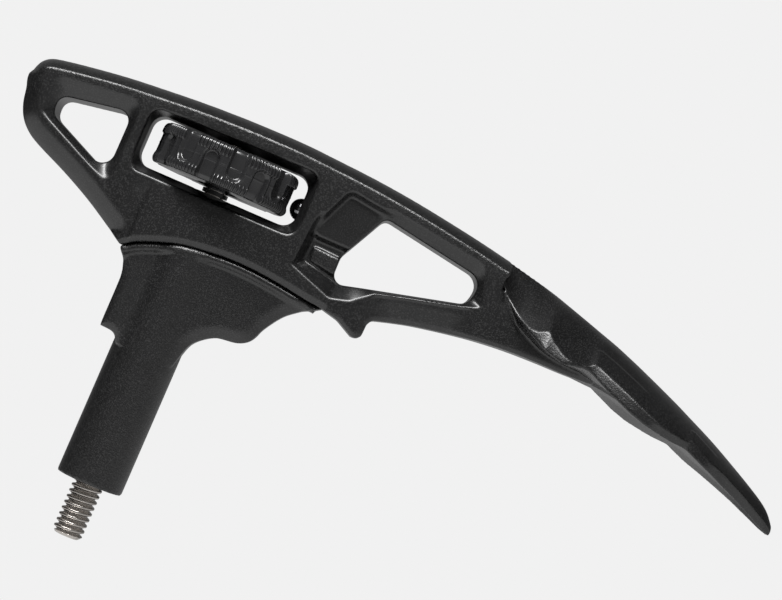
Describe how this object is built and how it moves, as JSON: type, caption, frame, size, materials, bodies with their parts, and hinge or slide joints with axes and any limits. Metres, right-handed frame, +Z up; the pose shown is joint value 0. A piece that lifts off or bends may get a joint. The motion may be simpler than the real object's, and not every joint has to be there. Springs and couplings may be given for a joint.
{
  "type": "ice axe head",
  "caption": "Moulded ice axe head with curved barbed pick, pierced beam, round sleeve and a threaded steel stud turned by a captive thumbwheel.",
  "frame": {"origin": "centre of the flat end of the threaded stud's tip", "axes": "+Z up the stud's axis into the head, +X towards the tip of the pick, Y across the thickness with the part symmetric about Y = 0"},
  "size_m": [0.1759, 0.0312, 0.0925],
  "materials": {
    "nylon": "charcoal black glass-filled nylon, satin with fine sparkle grain",
    "wheel_nylon": "black nylon, semi gloss",
    "stainless": "turned stainless steel, warm grey",
    "dark_steel": "dark polished steel",
    "spring_steel": "drawn spring steel",
    "bush_acetal": "black acetal bearing plastic"
  },
  "bodies": {
    "head": {"head_frame": "nylon", "pole_adapter": "nylon", "core_tube": "dark_steel", "upper_bush": "bush_acetal", "sleeve_bush": "bush_acetal", "pivot_bush": "bush_acetal", "detent_screw": "dark_steel", "detent_spring": "spring_steel", "dowel_left": "dark_steel", "dowel_right": "dark_steel"},
    "spindle": {"drive_rod": "stainless", "thumbwheel": "wheel_nylon", "wheel_insert": "dark_steel", "retaining_ring": "spring_steel", "spacer": "bush_acetal"},
    "detent": {"detent_ball": "dark_steel"}
  },
  "joints": [
    {"name": "wheel_spin", "type": "hinge", "parent": "head", "child": "spindle", "pos_m": [0, 0, 0.0812], "axis": [0, 0, 1], "continuous": true},
    {"name": "detent_slide", "type": "slide", "parent": "head", "child": "detent", "axis": [1, 0, 0], "range_m": [0, 0.0006], "stiffness_N_per_m": 300, "springref_m": -0.001}
  ]
}
